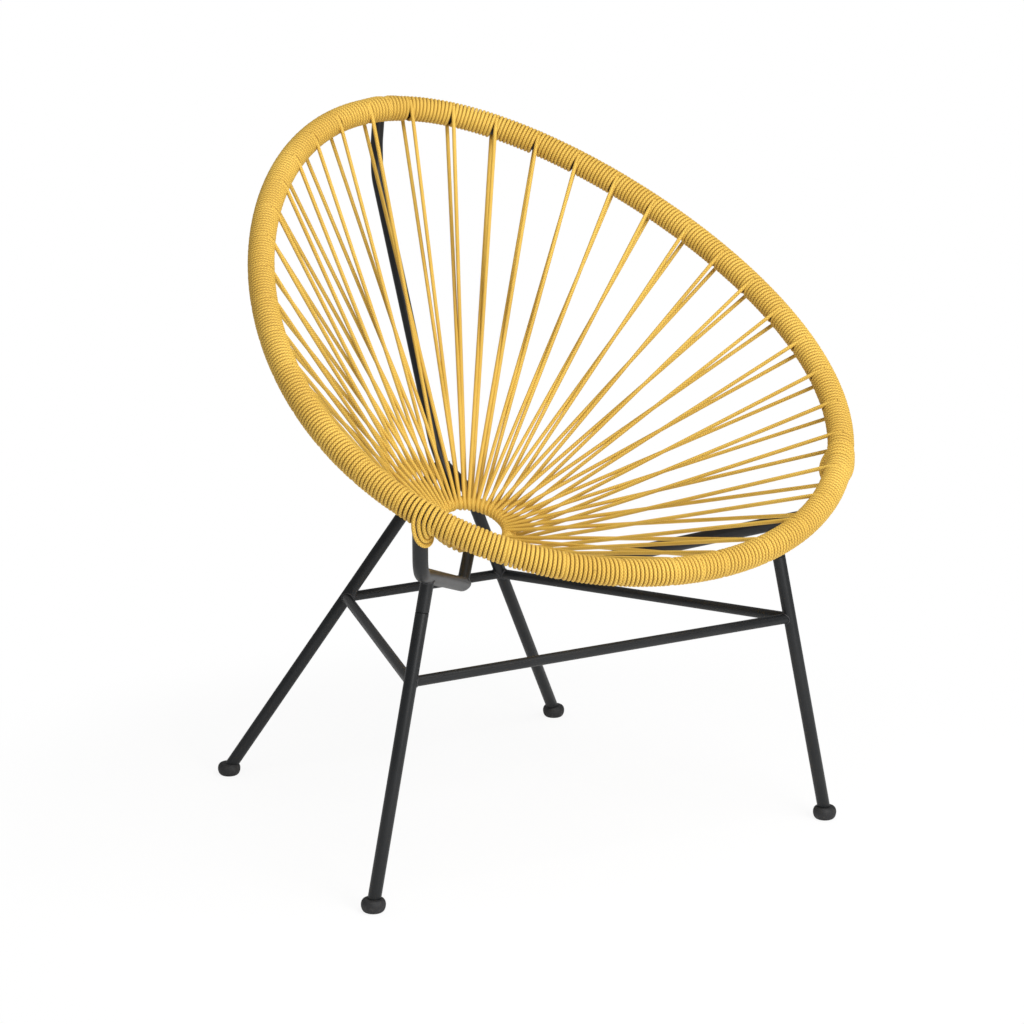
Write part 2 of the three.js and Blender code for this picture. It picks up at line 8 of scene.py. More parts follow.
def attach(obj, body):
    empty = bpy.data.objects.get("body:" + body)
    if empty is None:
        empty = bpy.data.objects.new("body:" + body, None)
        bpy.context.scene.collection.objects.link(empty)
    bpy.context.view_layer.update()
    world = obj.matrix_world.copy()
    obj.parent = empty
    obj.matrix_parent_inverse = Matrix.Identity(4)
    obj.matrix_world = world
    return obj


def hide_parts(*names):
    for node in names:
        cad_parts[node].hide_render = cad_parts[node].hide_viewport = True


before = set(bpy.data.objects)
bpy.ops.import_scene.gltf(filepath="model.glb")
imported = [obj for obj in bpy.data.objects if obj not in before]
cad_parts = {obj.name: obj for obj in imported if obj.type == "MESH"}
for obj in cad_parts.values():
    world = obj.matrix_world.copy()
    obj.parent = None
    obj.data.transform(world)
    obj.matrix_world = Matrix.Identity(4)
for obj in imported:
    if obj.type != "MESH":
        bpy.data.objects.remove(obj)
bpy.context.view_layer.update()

MM = 0.001
RIGHT, LEFT = 1, -1
SIDES = {"right": RIGHT, "left": LEFT}

# Seat hoop, as in the frame: lengths in metres, angles in radians. Places called "back" are measured
# backwards from the foremost point of the hoop's centre line.
HOOP_LENGTH = 858 * MM
HOOP_HALF_WIDTH = 343 * MM
HOOP_FRONT_HEIGHT = 413 * MM
HOOP_TILT = math.radians(31.1)
HOOP_EGG_SHARE = 0.19
HOOP_TUBE = 22 * MM

# Hub ring
HUB_RADIUS = 48.5 * MM
HUB_ROD = 10 * MM
HUB_BACK = 512.1 * MM
HUB_HEIGHT = 351 * MM
HUB_TILT = math.radians(24)

# Cord
CORD = 5 * MM
CORD_PITCH = 5.06 * MM
CORD_CORNERS = 8
CORD_UNEVENNESS = 0.35 * MM
TURN_STEPS = 26
STRANDS_BEHIND = 15
STRANDS_AHEAD = 5
STRANDS_BEHIND_STRUT = 17
STRANDS_PER_PANEL = 3
ARM_ON_HOOP_SHARE = 0.3615
STRAND_BEHIND_ARM = 25.5 * MM
STRAND_AHEAD_OF_ARM = 41.5 * MM
HOOP_LACE = 1.7 * MM
WINDING_GAP = 1.3 * MM
HUB_LACE = 3.2 * MM

# Turns wound side by side are drawn this much fuller than the cord, so no tube shows between them
WOUND_FULLNESS = 1.1

# Beside the spine the turns are drawn apart, and bulge where they crowd together
SPINE_REACH = 30 * MM
SPINE_BULGE = 2 * MM

# Close turns of cord under the strands on the hub ring
UNDERLAY_TURNS = 66
UNDERLAY_STEPS = 20
UNDERLAY_ABOVE_RING = 1.2 * MM

# Cuff over the arm's joint
CUFF_TURNS = 4
CUFF_PITCH = 6.2 * MM
CUFF_NEST = 5.9 * MM
CUFF_START = 1.5 * MM
CUFF_CLEARANCE = 0.6 * MM
CUFF_DROOP_POWER = 5
CUFF_STEPS = 64
CUFF_CORNERS = 12

# Arms and struts
ARM_TUBE = 18 * MM
ARM_BEND = 42 * MM
ELBOW_X = 278.3 * MM
ELBOW_BACK = 146.2 * MM
ELBOW_HEIGHT = 410.3 * MM
ARM_END_X = 64.3 * MM
ARM_END_BACK = 425.9 * MM
ARM_END_HEIGHT = 302.5 * MM
ARM_TIP = 5 * MM
STRUT_TUBE = 15 * MM

# Spine
SPINE_TUBE = 16 * MM
SPINE_SET_BACK = 25 * MM
SPINE_SHOULDER_DROP = 46 * MM
SPINE_BEND_DROP = 89.2 * MM
SPINE_KNEE_RISE = 71.3 * MM
SPINE_LEAN = math.radians(24.6)
SPINE_BEND = 60 * MM
SPINE_ROD_LENGTH = 11 * MM

# Legs, stubs and stretchers
LEG_TUBE = 16 * MM
FRONT_FOOT_X = 322.7 * MM
FRONT_FOOT_BACK = 184.7 * MM
REAR_FOOT_X = 248.7 * MM
REAR_FOOT_BACK = 722.2 * MM
REAR_LEGS_MEET_BEHIND_HUB = 10.1 * MM
REAR_LEGS_MEET_RISE = 75 * MM
LEG_ON_ARM_SHARE = 0.172
SEAM_HEIGHT = 350 * MM
REAR_STUB_STRAIGHT = 28 * MM
REAR_STUB_BEND = 14 * MM
REAR_STUB_WELD_SHARE = 0.365
STRETCHER_TUBE = 12.7 * MM
FRONT_STRETCHER_HEIGHT = 269 * MM
REAR_STRETCHER_HEIGHT = 242 * MM

# Foot caps
FOOT_WIDTH = 29.5 * MM
FOOT_BASE_WIDTH = 19 * MM
FOOT_TOP_WIDTH = 20 * MM
FOOT_HEIGHT = 16 * MM
FOOT_MIDDLE = 9 * MM
LEG_ABOVE_FLOOR = 9 * MM
GAP = 0.3 * MM

# Facets, and the radius of the edges at a seam
BAR_CORNERS = 32
RING_CORNERS = 20
LATHE_STEPS = 40
FOOT_LATHE_STEPS = 48
HOOP_STEPS = 240
HUB_STEPS = 96
BEND_STEPS = 18
TUCK_STEPS = 10
SEAM_EDGE = 0.7 * MM
MERGE_DISTANCE = 1e-6

# Weld beads
WELD_BEAD = 2.3 * MM
WELD_CORNERS = 10
WELD_STEPS = 64
WELD_UNEVENNESS = 0.4

UP = Vector((0, 0, 1))
ACROSS = Vector((1, 0, 0))
TURN = 2 * math.pi


# Places and lines

def towards(a, b):
    return (b - a).normalized()


def mirror(place):
    return Vector((-place.x, place.y, place.z))


def on_side(line, side):
    return [mirror(p) if side == LEFT else p.copy() for p in line]


def bent_line(corners, bend):
    """Line through the corners, with each inner one rounded to the bend radius."""
    line = [corners[0]]
    for before, corner, after in zip(corners, corners[1:], corners[2:]):
        back, ahead = towards(corner, before), towards(corner, after)
        room = min((corner - before).length, (corner - after).length) / 2
        reach = min(bend / math.tan(back.angle(ahead) / 2), room)
        line += curve_between(corner + back * reach, corner, corner + ahead * reach, BEND_STEPS)
    return line + [corners[-1]]


def curve_between(start, control, end, steps):
    """Points on the bend from start to end that leaves and arrives towards control."""
    points = []
    for i in range(steps + 1):
        t = i / steps
        points.append(start * (1 - t) ** 2 + control * (2 * t * (1 - t)) + end * t ** 2)
    return points


# The hoop's centre line, measured along its length

CORD_LIFT = HOOP_TUBE / 2 + GAP + CORD / 2
WOUND_RADIUS = HOOP_TUBE / 2 + GAP + CORD
DEPTH = WOUND_RADIUS + HOOP_LENGTH * math.cos(HOOP_TILT) + SPINE_SET_BACK + SPINE_TUBE / 2
SLOPE = Vector((0, math.cos(HOOP_TILT), math.sin(HOOP_TILT)))
HOOP_UP = Vector((0, -math.sin(HOOP_TILT), math.cos(HOOP_TILT)))
HOOP_FRONT = Vector((0, WOUND_RADIUS - DEPTH / 2, HOOP_FRONT_HEIGHT))
HOOP_TOP = HOOP_FRONT + SLOPE * HOOP_LENGTH
HOOP_SAMPLES = 2000


def place_at(x, back, height):
    return Vector((x, HOOP_FRONT.y + back, height))


def hoop_point(turn):
    angle = TURN * turn
    down = HOOP_LENGTH / 2 * (1 - math.cos(angle))
    half = HOOP_HALF_WIDTH * math.sin(angle) * (1 - HOOP_EGG_SHARE * math.cos(angle))
    place = HOOP_TOP - SLOPE * down
    return Vector((half, place.y, place.z))


HOOP_POINTS = [hoop_point(i / HOOP_SAMPLES) for i in range(HOOP_SAMPLES + 1)]
HOOP_RUN = [0.0]
for here, there in zip(HOOP_POINTS, HOOP_POINTS[1:]):
    HOOP_RUN.append(HOOP_RUN[-1] + (there - here).length)
HOOP_ROUND = HOOP_RUN[-1]


def hoop_at(run):
    """Centre, heading and outward direction of the hoop, run metres from its top down the right side."""
    run %= HOOP_ROUND
    low, high = 0, HOOP_SAMPLES
    while high - low > 1:
        middle = (low + high) // 2
        low, high = (middle, high) if HOOP_RUN[middle] <= run else (low, middle)
    share = (run - HOOP_RUN[low]) / (HOOP_RUN[high] - HOOP_RUN[low])
    heading = towards(HOOP_POINTS[low], HOOP_POINTS[high])
    outward = HOOP_UP.cross(heading).normalized()
    return HOOP_POINTS[low].lerp(HOOP_POINTS[high], share), heading, outward


ARM_RUN = ARM_ON_HOOP_SHARE * HOOP_ROUND
FRONT_RUN = HOOP_ROUND / 2
STRANDS_A_SIDE = STRANDS_BEHIND + STRANDS_AHEAD


def strand_run(strand):
    """Where the middle of a strand lies on the hoop."""
    if strand < STRANDS_BEHIND:
        return (strand + 0.5) * (ARM_RUN - STRAND_BEHIND_ARM) / (STRANDS_BEHIND - 0.5)
    first = ARM_RUN + STRAND_AHEAD_OF_ARM
    return first + (strand - STRANDS_BEHIND) * (FRONT_RUN - first) / (STRANDS_AHEAD - 0.5)


def border_run(strand):
    """Where a panel that starts with this strand starts on the hoop."""
    marked = {0: 0.0, STRANDS_BEHIND: ARM_RUN, STRANDS_A_SIDE: FRONT_RUN}
    return marked[strand] if strand in marked else (strand_run(strand - 1) + strand_run(strand)) / 2


# Hub ring, and the strands' places round it

HUB_CENTRE = place_at(0, HUB_BACK, HUB_HEIGHT)
HUB_UP = Vector((0, -math.sin(HUB_TILT), math.cos(HUB_TILT)))
HUB_SLOPE = Vector((0, math.cos(HUB_TILT), math.sin(HUB_TILT)))
WRAP_LIFT = HUB_ROD / 2 + GAP + CORD / 2
HUB_END_TURN = math.asin((HUB_LACE + CORD / 2 + 3 * GAP) / HUB_RADIUS)
STRUT_WINDOW = (STRUT_TUBE + CORD + HUB_LACE + 4 * GAP) / (HUB_RADIUS + WRAP_LIFT)
HUB_PITCH = (math.pi - 2 * HUB_END_TURN - STRUT_WINDOW) / (STRANDS_A_SIDE - 2)


def hub_at(turn):
    outward = Vector((math.sin(turn), 0, 0)) + HUB_SLOPE * math.cos(turn)
    return HUB_CENTRE + outward * HUB_RADIUS, outward.cross(HUB_UP), outward


def strand_turn(strand):
    past_strut = 0 if strand < STRANDS_BEHIND_STRUT else STRUT_WINDOW - HUB_PITCH
    return HUB_END_TURN + strand * HUB_PITCH + past_strut


STRUT_TURN = strand_turn(STRANDS_BEHIND_STRUT - 1) + STRUT_WINDOW / 2 + HUB_LACE / HUB_RADIUS


# Lines of the tubes

ARM_ROOT = hoop_at(ARM_RUN)[0]
ELBOW = place_at(ELBOW_X, ELBOW_BACK, ELBOW_HEIGHT)
ARM_END = place_at(ARM_END_X, ARM_END_BACK, ARM_END_HEIGHT)
ARM_LINE = bent_line([ARM_ROOT, ELBOW, ARM_END + towards(ELBOW, ARM_END) * ARM_TUBE], ARM_BEND)
STRUT_LINE = [ARM_END, hub_at(STRUT_TURN)[0]]
SPINE_Y = HOOP_TOP.y + SPINE_SET_BACK
SPINE_WELD_Y = HOOP_TOP.y + (HOOP_TUBE + SPINE_TUBE) / 2 + GAP
SPINE_END = hub_at(0)[0]
SPINE_BEND_HEIGHT = HOOP_TOP.z - SPINE_BEND_DROP
SPINE_KNEE_HEIGHT = SPINE_END.z + SPINE_KNEE_RISE
SPINE_KNEE = Vector((0, SPINE_Y - (SPINE_BEND_HEIGHT - SPINE_KNEE_HEIGHT) * math.tan(SPINE_LEAN),
                     SPINE_KNEE_HEIGHT))
ROD_START = SPINE_END + towards(SPINE_END, SPINE_KNEE) * SPINE_ROD_LENGTH
SPINE_LINE = bent_line([
    Vector((0, SPINE_WELD_Y, HOOP_TOP.z + SPINE_TUBE / 2)),
    Vector((0, SPINE_WELD_Y, HOOP_TOP.z - HOOP_TUBE / 2)),
    Vector((0, SPINE_Y, HOOP_TOP.z - SPINE_SHOULDER_DROP)),
    Vector((0, SPINE_Y, SPINE_BEND_HEIGHT)),
    SPINE_KNEE,
    ROD_START,
], SPINE_BEND)
FRONT_FOOT = place_at(FRONT_FOOT_X, FRONT_FOOT_BACK, FOOT_MIDDLE)
REAR_FOOT = place_at(REAR_FOOT_X, REAR_FOOT_BACK, FOOT_MIDDLE)
REAR_LEGS_MEET = SPINE_END + Vector((0, REAR_LEGS_MEET_BEHIND_HUB, REAR_LEGS_MEET_RISE))
FRONT_LEG_TOP = ELBOW.lerp(ARM_END, LEG_ON_ARM_SHARE)


def at_height(foot, top, height):
    return foot.lerp(top, (height - foot.z) / (top.z - foot.z))


FRONT_JOINT = at_height(FRONT_FOOT, FRONT_LEG_TOP, FRONT_STRETCHER_HEIGHT)
REAR_JOINT = at_height(REAR_FOOT, REAR_LEGS_MEET, REAR_STRETCHER_HEIGHT)


# Node trees: wires carry arithmetic, and one method makes every other node

def sum_method(operation, swapped=False):
    """A method that adds a Math node to the tree of its wire."""
    def method(self, *others):
        values = (*others, self) if swapped else (self, *others)
        return self.net.make("ShaderNodeMath", {"operation": operation}, dict(enumerate(values)))
    return method


class Wire:
    """An output socket that can be used in sums."""

    __add__ = sum_method("ADD")
    __radd__ = sum_method("ADD", swapped=True)
    __sub__ = sum_method("SUBTRACT")
    __rsub__ = sum_method("SUBTRACT", swapped=True)
    __mul__ = sum_method("MULTIPLY")
    __rmul__ = sum_method("MULTIPLY", swapped=True)
    __truediv__ = sum_method("DIVIDE")
    __pow__ = sum_method("POWER")
    __mod__ = sum_method("FLOORED_MODULO")
    __abs__ = sum_method("ABSOLUTE")
    sin = sum_method("SINE")
    cos = sum_method("COSINE")
    floor = sum_method("FLOOR")
    above = sum_method("GREATER_THAN")
    at_most = sum_method("MINIMUM")

    def __init__(self, net, socket):
        self.net, self.socket = net, socket

    def ramp(self, low, high):
        """0 below low and 1 above high, smooth between."""
        return self.net.make("ShaderNodeMapRange", {"interpolation_type": "SMOOTHSTEP"},
                             {"Value": self, "From Min": low, "From Max": high})

    def vector(self, operation, other=None, pick=0, scale=None):
        values = {0: self}
        if other is not None:
            values[1] = other
        if scale is not None:
            values["Scale"] = scale
        return self.net.make("ShaderNodeVectorMath", {"operation": operation}, values, pick)

    def parts(self):
        node = self.net.make("ShaderNodeSeparateXYZ", {}, {0: self}).socket.node
        return [Wire(self.net, node.outputs[i]) for i in range(3)]


class Net:
    """Adds nodes and links to one tree."""

    def __init__(self, tree):
        self.tree = tree

    def make(self, kind, settings=None, values=None, pick=0):
        node = self.tree.nodes.new(kind)
        for name, value in (settings or {}).items():
            if name == "captures":
                for item in value:
                    node.capture_items.new("FLOAT", item)
            else:
                setattr(node, name, value)
        for name, value in (values or {}).items():
            self.feed(node.inputs[name], value)
        return Wire(self, node.outputs[pick]) if node.outputs else node

    def feed(self, socket, value):
        if isinstance(value, Wire):
            self.tree.links.new(value.socket, socket)
        else:
            socket.default_value = value

    def other(self, wire, name):
        """Another output of the node that a wire comes from."""
        return Wire(self, wire.socket.node.outputs[name])

    def triple(self, x, y, z):
        return self.make("ShaderNodeCombineXYZ", {}, {0: x, 1: y, 2: z})


class GeometryTree(Net):
    """A tree of geometry nodes with named inputs."""

    KINDS = {float: "NodeSocketFloat", int: "NodeSocketInt", Vector: "NodeSocketVector"}

    def __init__(self, name, inputs):
        super().__init__(bpy.data.node_groups.new(name, "GeometryNodeTree"))
        face = self.tree.interface
        face.new_socket("Geometry", in_out="INPUT", socket_type="NodeSocketGeometry")
        face.new_socket("Geometry", in_out="OUTPUT", socket_type="NodeSocketGeometry")
        self.identifiers = {}
        for label, value in inputs.items():
            socket = face.new_socket(label, in_out="INPUT", socket_type=self.KINDS[type(value)])
            socket.default_value = value
            self.identifiers[label] = socket.identifier
        surface = face.new_socket("Material", in_out="INPUT", socket_type="NodeSocketMaterial")
        self.identifiers["Material"] = surface.identifier
        self.entry = self.tree.nodes.new("NodeGroupInput")
        self.exit = self.tree.nodes.new("NodeGroupOutput")

    def input(self, label):
        return Wire(self, self.entry.outputs[label])

    def position(self):
        return self.make("GeometryNodeInputPosition")

    def fact(self, name, kind):
        """A number or vector kept on the input's points."""
        return self.make("GeometryNodeInputNamedAttribute", {"data_type": kind}, {"Name": name})

    def kept(self, geometry, name, kind, value):
        """The geometry with a number or vector kept on its points under a name."""
        return self.make("GeometryNodeStoreNamedAttribute", {"data_type": kind, "domain": "POINT"},
                         {"Geometry": geometry, "Name": name, "Value": value})

    def swept(self, line, radius, corners):
        """Round skin along a line, with its run in metres and its turn round the line kept as the lay."""
        run = self.make("GeometryNodeSplineParameter", pick="Length")
        held = self.make("GeometryNodeCaptureAttribute", {"captures": ["run"]},
                         {"Geometry": line, "run": run})
        section = self.make("GeometryNodeCurvePrimitiveCircle", {},
                            {"Resolution": corners, "Radius": radius})
        turn = self.make("GeometryNodeSplineParameter", pick="Factor")
        held_section = self.make("GeometryNodeCaptureAttribute", {"captures": ["turn"]},
                                 {"Geometry": section, "turn": turn})
        skin = self.make("GeometryNodeCurveToMesh", {},
                         {"Curve": held, "Profile Curve": held_section, "Fill Caps": True})
        angle = self.other(held_section, "turn") * TURN
        lay = self.triple(angle.cos(), angle.sin(), self.other(held, "run"))
        return self.kept(skin, "lay", "FLOAT_VECTOR", lay)

    def finish(self, geometry):
        geometry = self.make("GeometryNodeSetShadeSmooth", {}, {"Geometry": geometry, "Shade Smooth": True})
        geometry = self.make("GeometryNodeRealizeInstances", {}, {"Geometry": geometry})
        geometry = self.make("GeometryNodeSetMaterial", {},
                             {"Geometry": geometry, "Material": self.input("Material")})
        self.tree.links.new(geometry.socket, self.exit.inputs["Geometry"])


def tube_tree():
    """A round bar or bead along every line of the input, its radius uneven by a small share."""
    tree = GeometryTree("bar along a line", {
        "Radius": LEG_TUBE / 2, "Corners": BAR_CORNERS, "Unevenness": 0.0, "Seed": 1.0,
    })
    line = tree.make("GeometryNodeMeshToCurve", {}, {0: tree.input("Geometry")})
    waver = tree.make("ShaderNodeTexNoise", {"noise_dimensions": "4D"},
                      {"Vector": tree.position(), "W": tree.input("Seed"), "Scale": 260.0, "Detail": 2.0})
    share = 1 + tree.input("Unevenness") * (waver - 0.5)
    line = tree.make("GeometryNodeSetCurveRadius", {}, {0: line, "Radius": share})
    tree.finish(tree.swept(line, tree.input("Radius"), tree.input("Corners")))
    return tree


def seat_cord_tree():
    """Cord along every line of the input; a line with turns is the hoop's, and the cord winds round it."""
    tree = GeometryTree("seat cord", {
        "Cord Width": CORD,
        "Corners": CORD_CORNERS,
        "Steps per Turn": TURN_STEPS,
        "Lift": CORD_LIFT,
        "Hoop Up": HOOP_UP,
        "Side": 1.0,
        "Unevenness": CORD_UNEVENNESS,
        "Seed": 3.0,
        "Fullness": WOUND_FULLNESS,
        "Spine Half Width": SPINE_TUBE / 2 + CORD / 2 + GAP,
        "Spine Reach": SPINE_REACH,
        "Spine Angle": -HOOP_TILT,
        "Spine Bulge": SPINE_BULGE,
        "Spine Above": (HOOP_TOP.z + HOOP_FRONT.z) / 2,
    })
    line = tree.make("GeometryNodeMeshToCurve", {}, {0: tree.input("Geometry")})
    turns = tree.fact("turns", "FLOAT")
    angle = tree.fact("angle", "FLOAT")
    outward = tree.fact("outward", "FLOAT_VECTOR").vector("NORMALIZE")
    wound = turns.above(0.0)
    count = (turns * tree.input("Steps per Turn")).floor() + 2
    line = tree.make("GeometryNodeResampleCurve", {}, {"Curve": line, "Selection": wound, "Count": count})
    hoop_up = tree.input("Hoop Up")
    side_place, _, height = tree.position().parts()
    near = 1 - (abs(side_place) / tree.input("Spine Reach")).at_most(1.0)
    near = near * height.above(tree.input("Spine Above"))
    facing = (angle - tree.input("Spine Angle")).cos().ramp(0.0, 0.6)
    lift = tree.input("Lift") + tree.input("Spine Bulge") * near * facing
    round_hoop = outward.vector("SCALE", scale=angle.cos() * lift).vector(
        "ADD", hoop_up.vector("SCALE", scale=angle.sin() * lift))
    apart = tree.input("Spine Half Width") * near * facing * tree.input("Side")
    move = round_hoop.vector("ADD", tree.triple(apart, 0.0, 0.0))
    line = tree.make("GeometryNodeSetPosition", {}, {"Geometry": line, "Selection": wound, "Offset": move})
    waver = tree.make("ShaderNodeTexNoise", {"noise_dimensions": "4D"},
                      {"Vector": tree.position(), "W": tree.input("Seed"), "Scale": 120.0, "Detail": 1.0},
                      "Color")
    centred = waver.vector("SUBTRACT", Vector((0.5, 0.5, 0.5)))
    jitter = centred.vector("SCALE", scale=tree.input("Unevenness"))
    line = tree.make("GeometryNodeSetPosition", {}, {"Geometry": line, "Selection": wound, "Offset": jitter})
    line = tree.make("GeometryNodeSetCurveRadius", {},
                     {0: line, "Selection": wound, "Radius": tree.input("Fullness")})
    rise = round_hoop.vector("NORMALIZE").vector("SCALE", scale=wound)
    line = tree.kept(line, "rise", "FLOAT_VECTOR", rise)
    skin = tree.swept(line, tree.input("Cord Width") * 0.5, tree.input("Corners"))
    # How far the cord's surface faces out of the winding, kept for the painted shade between close turns
    rise = tree.fact("rise", "FLOAT_VECTOR")
    facing_out = rise.vector("DOT_PRODUCT", tree.make("GeometryNodeInputNormal"), "Value")
    tree.finish(tree.kept(skin, "crest", "FLOAT", facing_out + (1 - rise.vector("LENGTH", pick="Value"))))
    return tree


def lines_object(name, lines, closed=False, numbers=None, vectors=None):
    """Mesh object of polylines; numbers and vectors are facts kept on its points, in the lines' order."""
    mesh = bpy.data.meshes.new(name)
    points, edges = [], []
    for line in lines:
        first = len(points)
        points += [tuple(p) for p in line]
        edges += [(first + i, first + i + 1) for i in range(len(line) - 1)]
        if closed:
            edges.append((len(points) - 1, first))
    mesh.from_pydata(points, edges, [])
    for fact, values in (numbers or {}).items():
        mesh.attributes.new(fact, "FLOAT", "POINT").data.foreach_set("value", values)
    for fact, values in (vectors or {}).items():
        flat = [number for vector in values for number in vector]
        mesh.attributes.new(fact, "FLOAT_VECTOR", "POINT").data.foreach_set("vector", flat)
    made = bpy.data.objects.new(name, mesh)
    bpy.context.scene.collection.objects.link(made)
    return made


def baked(made, tree, settings):
    """The object with its tree's result as a plain mesh, facing outwards."""
    modifier = made.modifiers.new(tree.tree.name, "NODES")
    modifier.node_group = tree.tree
    for label, value in settings.items():
        modifier[tree.identifiers[label]] = value
    bpy.context.view_layer.update()
    graph = bpy.context.evaluated_depsgraph_get()
    result = bpy.data.meshes.new_from_object(
        made.evaluated_get(graph), preserve_all_data_layers=True, depsgraph=graph)
    made.modifiers.clear()
    made.data = result
    shape = bmesh.new()
    shape.from_mesh(result)
    if shape.calc_volume(signed=True) < 0:
        bmesh.ops.reverse_faces(shape, faces=shape.faces)
        shape.to_mesh(result)
    shape.free()
    result.name = made.name
    return made


# Materials

def surface(name, paint):
    made = bpy.data.materials.new(name)
    made.use_nodes = True
    made.node_tree.nodes.clear()
    net = Net(made.node_tree)
    shader = net.tree.nodes.new("ShaderNodeBsdfPrincipled")
    end = net.tree.nodes.new("ShaderNodeOutputMaterial")
    net.tree.links.new(shader.outputs[0], end.inputs[0])
    paint(net, shader)
    return made


def mixed(net, factor, low, high):
    """Colour between two, by a factor."""
    node = net.tree.nodes.new("ShaderNodeMix")
    node.data_type = "RGBA"
    net.feed(node.inputs[0], factor)
    net.feed(node.inputs[6], low)
    net.feed(node.inputs[7], high)
    return Wire(net, node.outputs[2])


def object_place(net):
    return net.make("ShaderNodeTexCoord", pick="Object")


def noise(net, place, scale, detail=2.0):
    return net.make("ShaderNodeTexNoise", {}, {"Vector": place, "Scale": scale, "Detail": detail})


def bumped(net, shader, strength, depth, height):
    """Gives the surface a fine relief of this depth."""
    bump = net.make("ShaderNodeBump", {}, {"Strength": strength, "Distance": depth, "Height": height})
    net.feed(shader.inputs["Normal"], bump)


# Colours, from the darker to the lighter of each pair
# Shaded and lit copies of the cord's colour: painted shade in the braid's valleys, painted light on its
# crowns
CORD_VALLEY_SHADE = ((0.31, 0.165, 0.014, 1), (0.38, 0.21, 0.020, 1))
CORD_CROWN_LIT = ((0.70, 0.44, 0.066, 1), (0.79, 0.52, 0.090, 1))
# Painted shade where turns of the winding lie close together
CORD_SHADE_BETWEEN_TURNS = (0.27, 0.125, 0.010, 1)
COAT = ((0.006, 0.007, 0.008, 1), (0.010, 0.011, 0.012, 1))
COAT_SPECK = (0.030, 0.030, 0.032, 1)
WELD = ((0.010, 0.010, 0.012, 1), (0.022, 0.022, 0.024, 1))
RUBBER = (0.010, 0.010, 0.011, 1)
RUBBER_SCUFF = (0.055, 0.053, 0.050, 1)
WHITE = (1, 1, 1, 1)

BRAID_LAY = 3.4 * MM
BRAID_PLAITS = 4
YARNS_PER_PLAIT = 4
FIBRE_SCALE = 2600.0


def paint_cord(net, shader):
    lay = net.make("ShaderNodeAttribute", {"attribute_name": "lay"}, pick="Vector")
    cos_turn, sin_turn, run = lay.parts()
    turn = net.make("ShaderNodeMath", {"operation": "ARCTAN2"}, {0: sin_turn, 1: cos_turn}) / TURN
    along = run / BRAID_LAY
    one_way, other_way = along + turn * BRAID_PLAITS, along - turn * BRAID_PLAITS
    crown = abs((one_way * math.pi).sin() * (other_way * math.pi).sin())
    over = (one_way.floor() + other_way.floor()) % 2
    yarns = (over * (one_way * (TURN * YARNS_PER_PLAIT)).sin()
             + (1 - over) * (other_way * (TURN * YARNS_PER_PLAIT)).sin())
    height = crown ** 0.6 + yarns * 0.12
    place = object_place(net)
    dye = noise(net, place, 9.0).ramp(0.3, 0.7)
    fibre = noise(net, place, FIBRE_SCALE, 1.0)
    # Painted shade and light: a shaded copy of the cord's colour in the braid's valleys and a lit copy on
    # its crowns, mixed also by fibre grain and the plaits' over and under
    valley_shade = mixed(net, dye, *CORD_VALLEY_SHADE)
    crown_lit = mixed(net, dye, *CORD_CROWN_LIT)
    lit_and_grain = (crown * 0.6 + fibre * 0.35 + over * 0.1).ramp(0.0, 0.7)
    # painted shade: where turns lie close together, little light gets down between them, and the cord there
    # is given a darker colour
    crest = net.make("ShaderNodeAttribute", {"attribute_name": "crest"}, pick="Fac").ramp(0.0, 0.95)
    net.feed(shader.inputs["Base Color"],
             mixed(net, crest, CORD_SHADE_BETWEEN_TURNS, mixed(net, lit_and_grain, valley_shade, crown_lit)))
    net.feed(shader.inputs["Roughness"], 0.62 + 0.2 * fibre)
    bumped(net, shader, 0.5, 0.4 * MM, height + fibre * 0.15)


def paint_powder_coat(net, shader):
    place = object_place(net)
    peel = noise(net, place, 900.0, 2.0)
    patch = noise(net, place, 14.0, 3.0)
    speck = noise(net, place, 2400.0, 0.0).ramp(0.68, 0.74)
    coat = mixed(net, patch.ramp(0.35, 0.7), *COAT)
    net.feed(shader.inputs["Base Color"], mixed(net, speck * 0.5, coat, COAT_SPECK))
    net.feed(shader.inputs["Roughness"], 0.34 + 0.12 * patch + 0.05 * peel)
    shader.inputs["Specular IOR Level"].default_value = 0.32
    bumped(net, shader, 0.18, 0.3 * MM, peel)


def paint_weld(net, shader):
    place = object_place(net)
    ripple = noise(net, place, 700.0, 3.0)
    net.feed(shader.inputs["Base Color"], mixed(net, ripple, *WELD))
    net.feed(shader.inputs["Roughness"], 0.42 + 0.2 * ripple)
    bumped(net, shader, 0.5, 0.6 * MM, ripple)


def paint_rubber(net, shader):
    place = object_place(net)
    grain = noise(net, place, 1500.0, 3.0)
    scuff = noise(net, place, 160.0, 4.0).ramp(0.5, 0.75)
    low = 1 - place.parts()[2].ramp(2 * MM, 10 * MM)
    net.feed(shader.inputs["Base Color"], mixed(net, scuff * (0.25 + 0.5 * low), RUBBER, RUBBER_SCUFF))
    net.feed(shader.inputs["Roughness"], 0.55 + 0.25 * grain)
    bumped(net, shader, 0.3, 0.3 * MM, grain)


BRAIDED_CORD = surface("mustard_braided_cord", paint_cord)
POWDER_COAT = surface("black_powder_coat", paint_powder_coat)
COATED_WELD = surface("coated_weld", paint_weld)
BLACK_RUBBER = surface("black_rubber", paint_rubber)

BAR = tube_tree()
SEAT_CORD = seat_cord_tree()


def settle(piece, slot, *nodes):
    """Makes a finished piece ride on the chair and stand for its nodes."""
    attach(piece, "root")
    if nodes:
        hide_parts(*nodes)
    return piece


# Seat cord: each panel is a stretch of winding with the strands that leave it

TUCK = math.radians(35)
EASE = 9 * MM
WRAP_STEPS = 16
LEAST_WOUND_STEPS = 4
WOUND_STEP = 2.5 * MM


